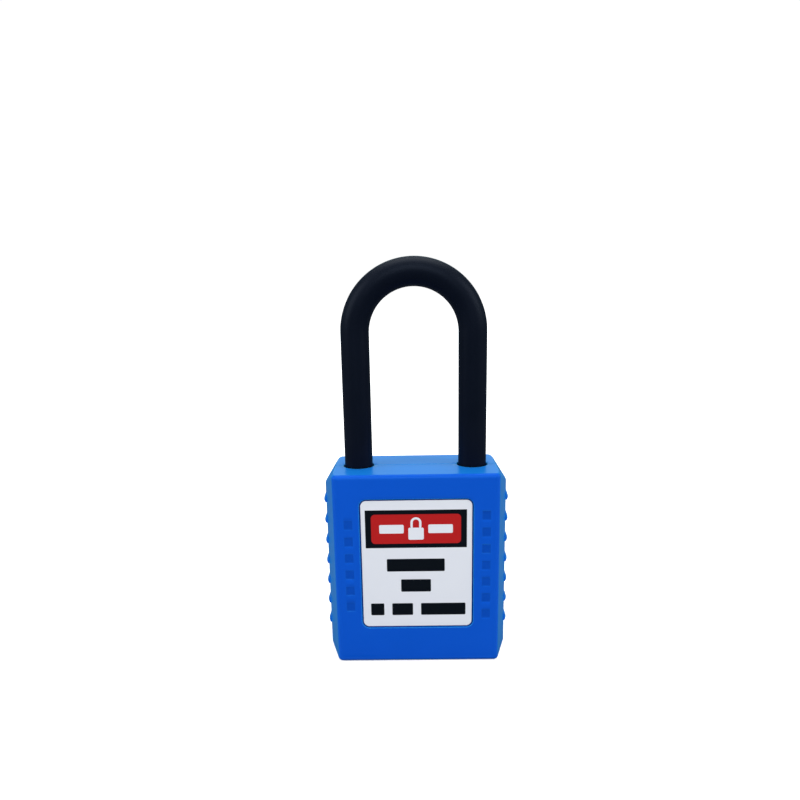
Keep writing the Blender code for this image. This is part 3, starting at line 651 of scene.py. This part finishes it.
    ring = [np.stack([out_x, out_y, out_z], axis=-1)]
    inner = np.stack([in_x, in_y, in_z], axis=-1)
    for row, level_z in ((-1, body_height), (0, 0.0)):
        mouth_depth = pocket_depth(in_x[:, row], z[0, row], grow=parting_edge)
        lip_y = -np.maximum(mouth_depth, parting + parting_edge)
        lip = np.stack([in_x[:, row], lip_y, np.full(len(in_x), level_z)], axis=-1)
        lip[[0, -1]] = inner[[0, -1], row]
        edge = ring[0][:, row]
        parts = np.array([0.008, 0.25, 0.5, 0.75, 1.0])[None, :, None]
        cap = edge[:, None] * (1 - parts) + lip[:, None] * parts
        ring += [cap, inner[:, ::-1]] if row == -1 else [cap[:, ::-1]]
    points = np.concatenate(ring, axis=1)
    points[..., 1] *= -face
    # The painted shade is carried on the outside rows only.
    shade = np.zeros(points.shape[:2])
    shade[:, :z.size] = engraved
    return points, shade


def make_abs():
    """Blue ABS: satin gloss with a very fine grain and a slightly uneven sheen. Its colour holds painted
    light: a paler cyan painted sheen on a slant, paler edges that are partly rubbed and partly a painted
    highlight, and painted shade in the marks and round the label."""
    material, tree, shader, vector = start_material("blue_abs")
    grain = grain_finish(tree, shader, vector, 1800.0, 5e-6, 0.30, 0.04)
    edges = place_group(tree, edge_lean_mask, vector, Radius=0.00035, Amount=1.3)
    clouded = mix_colours(tree, grain.outputs["Blotch"], (0.0030, 0.080, 0.54), (0.0040, 0.088, 0.58))
    # Painted sheen: the colour goes towards a paler cyan where the surface is seen on a slant, in place of
    # reflected light.
    slant = tree.nodes.new("ShaderNodeLayerWeight")
    slant.inputs["Blend"].default_value = 0.5
    least_slant, slant_gain = 0.35, 1.4
    beyond = math_node(tree, "SUBTRACT", slant.outputs["Facing"], least_slant)
    painted_sheen_share = math_node(tree, "MULTIPLY", beyond, slant_gain, clamp=True)
    with_painted_sheen = mix_colours(tree, painted_sheen_share, clouded, (0.008, 0.23, 0.60))
    # Painted shade in the sunk marks and the groove round the label, read from the shell's shade attribute.
    engraved = tree.nodes.new("ShaderNodeAttribute")
    engraved.attribute_name = "engraved"
    with_painted_shade = mix_colours(tree, engraved.outputs["Fac"], with_painted_sheen, (0.0012, 0.030, 0.24))
    # Paler edges: partly rubbed wear and partly a painted highlight, kept out of the painted shade.
    plain = math_node(tree, "SUBTRACT", 1.0, engraved.outputs["Fac"])
    rubbed_and_highlit = math_node(tree, "MULTIPLY", edges.outputs["Mask"], plain)
    lighter_edges = mix_colours(tree, rubbed_and_highlit, with_painted_shade, (0.04, 0.40, 0.66))
    tree.links.new(lighter_edges, shader.inputs["Base Color"])
    shader.inputs["Specular IOR Level"].default_value = 0.10
    shader.inputs["Specular Tint"].default_value = (0.25, 0.65, 1.0, 1.0)
    return material


blue_abs = make_abs()
for name, face in (("front", -1), ("rear", 1)):
    points, shade = shell_points(face)
    # The painted shade becomes a point attribute that the blue material reads.
    shell = surface(f"{name}_moulding", points, blue_abs, engraved=shade)
    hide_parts(f"{name}_shell")
    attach(shell, "root")


# ---- Labels ----
# Plates of white polyester film on a stiff backing, let into both faces and glued down.
# The front one is printed with a dark header, a red panel and plain bars. The rear one
# has ruled lines to write on.

def make_box_group():
    """A rounded box as a mask on x and z: 1 inside and 0 outside. It is the distance to the
    box shrunk by its corner radius, less that radius, turned into a soft edge."""
    sizes = {"Middle X": 0.0, "Middle Z": 0.0, "Half Width": 0.001, "Half Height": 0.001, "Corner": 0.0}
    group, start, end = new_group("rounded_box", {"Vector": None, **sizes}, ("Mask",))
    split = group.nodes.new("ShaderNodeSeparateXYZ")
    group.links.new(start.outputs["Vector"], split.inputs[0])
    distances = []
    for axis, middle, half in ((0, "Middle X", "Half Width"), (2, "Middle Z", "Half Height")):
        offset = math_node(group, "SUBTRACT", split.outputs[axis], start.outputs[middle])
        limit = math_node(group, "SUBTRACT", start.outputs[half], start.outputs["Corner"])
        distances.append(math_node(group, "SUBTRACT", math_node(group, "ABSOLUTE", offset), limit))
    outside = [math_node(group, "POWER", math_node(group, "MAXIMUM", one, 0.0), 2.0) for one in distances]
    length = math_node(group, "SQRT", math_node(group, "ADD", *outside))
    within = math_node(group, "MINIMUM", math_node(group, "MAXIMUM", *distances), 0.0)
    reach = math_node(group, "SUBTRACT", math_node(group, "ADD", length, within), start.outputs["Corner"])
    soft = math_node(group, "DIVIDE", reach, 0.06 * MM)
    group.links.new(math_node(group, "SUBTRACT", 0.5, soft, clamp=True), end.inputs["Mask"])
    return group


rounded_box = make_box_group()
paper = (0.73, 0.76, 0.82)
ink = (0.003, 0.005, 0.008)
red = (0.44, 0.013, 0.014)


def make_label_material(name, prints):
    """White film with flat printing: each print is a rounded box in its ink, laid on in turn,
    under one satin varnish."""
    material, tree, shader, vector = start_material(name)
    grain = grain_finish(tree, shader, vector, 2200.0, 2e-6, 0.36, 0.04)
    colour = mix_colours(tree, grain.outputs["Blotch"], [0.97 * c for c in paper], paper)
    for ink_colour, left, right, bottom, top, corner in prints:
        box = place_group(
            tree, rounded_box, vector, Middle_X=(left + right) / 2 * MM, Middle_Z=(bottom + top) / 2 * MM,
            Half_Width=(right - left) / 2 * MM, Half_Height=(top - bottom) / 2 * MM, Corner=corner * MM,
        )
        colour = mix_colours(tree, box.outputs["Mask"], colour, ink_colour)
    tree.links.new(colour, shader.inputs["Base Color"])
    shader.inputs["Specular IOR Level"].default_value = 0.06
    return material


# Left, right, bottom, top and corner in millimetres.
front_prints = [
    (ink, -11.3, 11.1, 27.8, 36.6, 0.0),
    (red, -10.0, 9.8, 28.8, 35.6, 0.9),
    (paper, -8.2, -2.8, 31.2, 33.2, 0.3),
    (paper, 2.6, 8.0, 31.2, 33.2, 0.3),
    (paper, -1.3, 1.1, 31.7, 34.9, 1.2),
    (red, -0.8, 0.6, 31.7, 34.4, 0.7),
    (paper, -1.8, 1.6, 29.7, 32.5, 0.35),
    (ink, -6.7, 6.2, 22.2, 25.2, 0.25),
    (ink, -3.6, 3.1, 17.3, 20.3, 0.25),
    (ink, -10.5, -7.5, 11.6, 14.5, 0.25),
    (ink, -5.7, -1.0, 11.6, 14.5, 0.25),
    (ink, 0.8, 10.85, 11.6, 14.5, 0.25),
]
rear_prints = [(ink, -11.2, 11.2, 33.6, 36.4, 0.4)]
rear_prints += [(ink, -10.4, 10.4, height, height + 0.18, 0.0) for height in (28.4, 23.8, 19.2, 14.6)]


def label_points(face):
    """A flat plate with round corners: the front and back sheets stand off the middle by half
    the thickness, less a quarter circle over the last of the way to the rim, where they meet."""
    edge = 0.10 * MM
    rim = np.array([0.0, 0.02, 0.05, 0.1, 0.2]) * MM
    grids = []
    for half in label_half:
        corner_steps = half - label_corner + label_corner * np.linspace(0, 1, 9)
        even = np.linspace(0, half - label_corner, 8)
        side = lines(even, corner_steps[1:-1], half - rim, least=0.01 * MM)
        grids.append(np.concatenate([-side[:0:-1], side]))
    x, z = np.meshgrid(grids[0], grids[1], indexing="ij")
    x, z, level = round_corners(x, z, label_half, label_corner, 0.0)
    share = np.clip(1 + level / edge, 0, 1)
    thickness = 0.13 * MM * np.sqrt(1 - share ** 2)
    middle = half_depth - 0.26 * MM
    sheets = [np.stack([x, face * (middle + sign * thickness), z + label_z], axis=-1) for sign in (1, -1)]
    return np.concatenate([sheets[0], sheets[1][:, ::-1]], axis=1)


for name, face, prints in (("front", -1, front_prints), ("rear", 1, rear_prints)):
    label = surface(f"{name}_label_plate", label_points(face), make_label_material(f"{name}_print", prints))
    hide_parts(f"{name}_label")
    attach(label, "root")


# ---- Floor, light and camera ----
# A wide pale table under soft panels: one large overhead, one each side and a low fill in
# front, in a white room, as for a catalogue picture.

def make_floor():
    """A flat square sheet just under the object. The camera sees it white out to the horizon.
    The object gets a dimmer light back from it, and a still dimmer mirror image, as it would
    from a real table. It is clear from below, and to light leaving the object's underside."""
    reach = 4.0
    corners = [(-reach, -reach), (reach, -reach), (reach, reach), (-reach, reach)]
    mesh = bpy.data.meshes.new("floor")
    mesh.from_pydata([(x, y, -0.05 * MM) for x, y in corners], [], [(0, 1, 2, 3)])
    material = bpy.data.materials.new("white_table")
    material.use_nodes = True
    tree = material.node_tree
    shader = tree.nodes["Principled BSDF"]
    path = tree.nodes.new("ShaderNodeLightPath")
    seen = path.outputs["Is Camera Ray"]
    lit = mix_colours(tree, path.outputs["Is Glossy Ray"], (0.42, 0.43, 0.45), (0.10, 0.13, 0.18))
    tree.links.new(mix_colours(tree, seen, lit, (0.93, 0.93, 0.93)), shader.inputs["Base Color"])
    shader.inputs["Roughness"].default_value = 0.9
    shader.inputs["Specular IOR Level"].default_value = 0.0
    shader.inputs["Emission Color"].default_value = (1.0, 1.0, 1.0, 1.0)
    coordinates = tree.nodes.new("ShaderNodeTexCoord")
    distance = tree.nodes.new("ShaderNodeVectorMath")
    distance.operation = "LENGTH"
    tree.links.new(coordinates.outputs["Object"], distance.inputs[0])
    near_reach, far_gain = 0.15, 1.3
    near_glow, far_glow = 0.45, 1.0
    beyond = math_node(tree, "SUBTRACT", distance.outputs["Value"], near_reach)
    far = math_node(tree, "MULTIPLY", beyond, far_gain, clamp=True)
    glow = math_node(tree, "MULTIPLY_ADD", far, far_glow - near_glow)
    glow.node.inputs[2].default_value = near_glow
    tree.links.new(math_node(tree, "MULTIPLY", seen, glow), shader.inputs["Emission Strength"])
    geometry = tree.nodes.new("ShaderNodeNewGeometry")
    close = math_node(tree, "LESS_THAN", path.outputs["Ray Length"], 1.0 * MM)
    under = math_node(tree, "MULTIPLY", close, math_node(tree, "SUBTRACT", 1.0, seen))
    sides = tree.nodes.new("ShaderNodeMixShader")
    tree.links.new(math_node(tree, "MAXIMUM", geometry.outputs["Backfacing"], under), sides.inputs[0])
    tree.links.new(shader.outputs[0], sides.inputs[1])
    tree.links.new(tree.nodes.new("ShaderNodeBsdfTransparent").outputs[0], sides.inputs[2])
    tree.links.new(sides.outputs[0], tree.nodes["Material Output"].inputs["Surface"])
    mesh.materials.append(material)
    floor = bpy.data.objects.new("floor", mesh)
    bpy.context.scene.collection.objects.link(floor)
    return floor


make_floor()


def soft_panel(name, place, target, size, power, tint=(1.0, 1.0, 1.0)):
    """A square area light that faces a target and stays out of the picture."""
    light = bpy.data.lights.new(name, "AREA")
    light.shape = "SQUARE"
    light.size = size
    light.energy = power
    light.color = tint
    panel = bpy.data.objects.new(name, light)
    panel.visible_camera = False
    aim = (np.array(target) - np.array(place)) / np.linalg.norm(np.array(target) - np.array(place))
    side = np.cross(aim, (0.0, 0.0, 1.0) if abs(aim[2]) < 0.9 else (0.0, 1.0, 0.0))
    side /= np.linalg.norm(side)
    up = np.cross(side, aim)
    columns = np.stack([side, up, -aim, place], axis=1)
    panel.matrix_world = Matrix([*columns.tolist(), (0, 0, 0, 1)])
    bpy.context.scene.collection.objects.link(panel)


soft_panel("overhead", (0.0, 0.15, 0.9), (0.0, 0.0, 0.03), 0.8, 6.5)
soft_panel("left_panel", (-0.75, -0.25, 0.45), (0.0, 0.0, 0.04), 0.5, 3.6)
soft_panel("right_panel", (0.75, -0.25, 0.45), (0.0, 0.0, 0.04), 0.5, 3.6)
soft_panel("front_fill", (0.0, -0.9, 0.7), (0.0, 0.0, 0.04), 0.5, 5.2)
soft_panel("back_panel", (0.0, 1.1, 0.42), (0.0, 0.0, 0.05), 0.8, 1.8, (0.60, 0.90, 1.0))


def make_studio():
    """A white room that the camera sees at full strength and the object only faintly. Its
    mirror image in the plastic is cool and dim."""
    world = bpy.data.worlds.new("studio")
    world.use_nodes = True
    tree = world.node_tree
    background = tree.nodes["Background"]
    path = tree.nodes.new("ShaderNodeLightPath")
    cool = mix_colours(tree, path.outputs["Is Glossy Ray"], (1.0, 1.0, 1.0), (0.55, 0.80, 1.0))
    tree.links.new(cool, background.inputs["Color"])
    seen = math_node(tree, "MULTIPLY_ADD", path.outputs["Is Camera Ray"], 0.80)
    seen.node.inputs[2].default_value = 0.22
    tree.links.new(seen, background.inputs["Strength"])
    return world


bpy.context.scene.world = make_studio()
bpy.context.scene.view_settings.view_transform = "Standard"

camera_place = (-0.68 * MM, -156.9 * MM, 85.02 * MM)
yaw, pitch, roll = (math.radians(angle) for angle in (-1.03, -14.12, -1.07))
aim = np.array([math.sin(yaw) * math.cos(pitch), math.cos(yaw) * math.cos(pitch), math.sin(pitch)])
level = np.array([math.cos(yaw), -math.sin(yaw), 0.0])
upright = np.cross(level, aim)
right = math.cos(roll) * level + math.sin(roll) * upright
up = -math.sin(roll) * level + math.cos(roll) * upright
lens = bpy.data.cameras.new("camera")
lens.sensor_width = 36.0
lens.lens = 31.92
lens.shift_y = 0.075
lens.clip_start = 0.005
camera = bpy.data.objects.new("camera", lens)
columns = np.stack([right, up, -aim, camera_place], axis=1)
camera.matrix_world = Matrix([*columns.tolist(), (0, 0, 0, 1)])
bpy.context.scene.collection.objects.link(camera)
bpy.context.scene.camera = camera
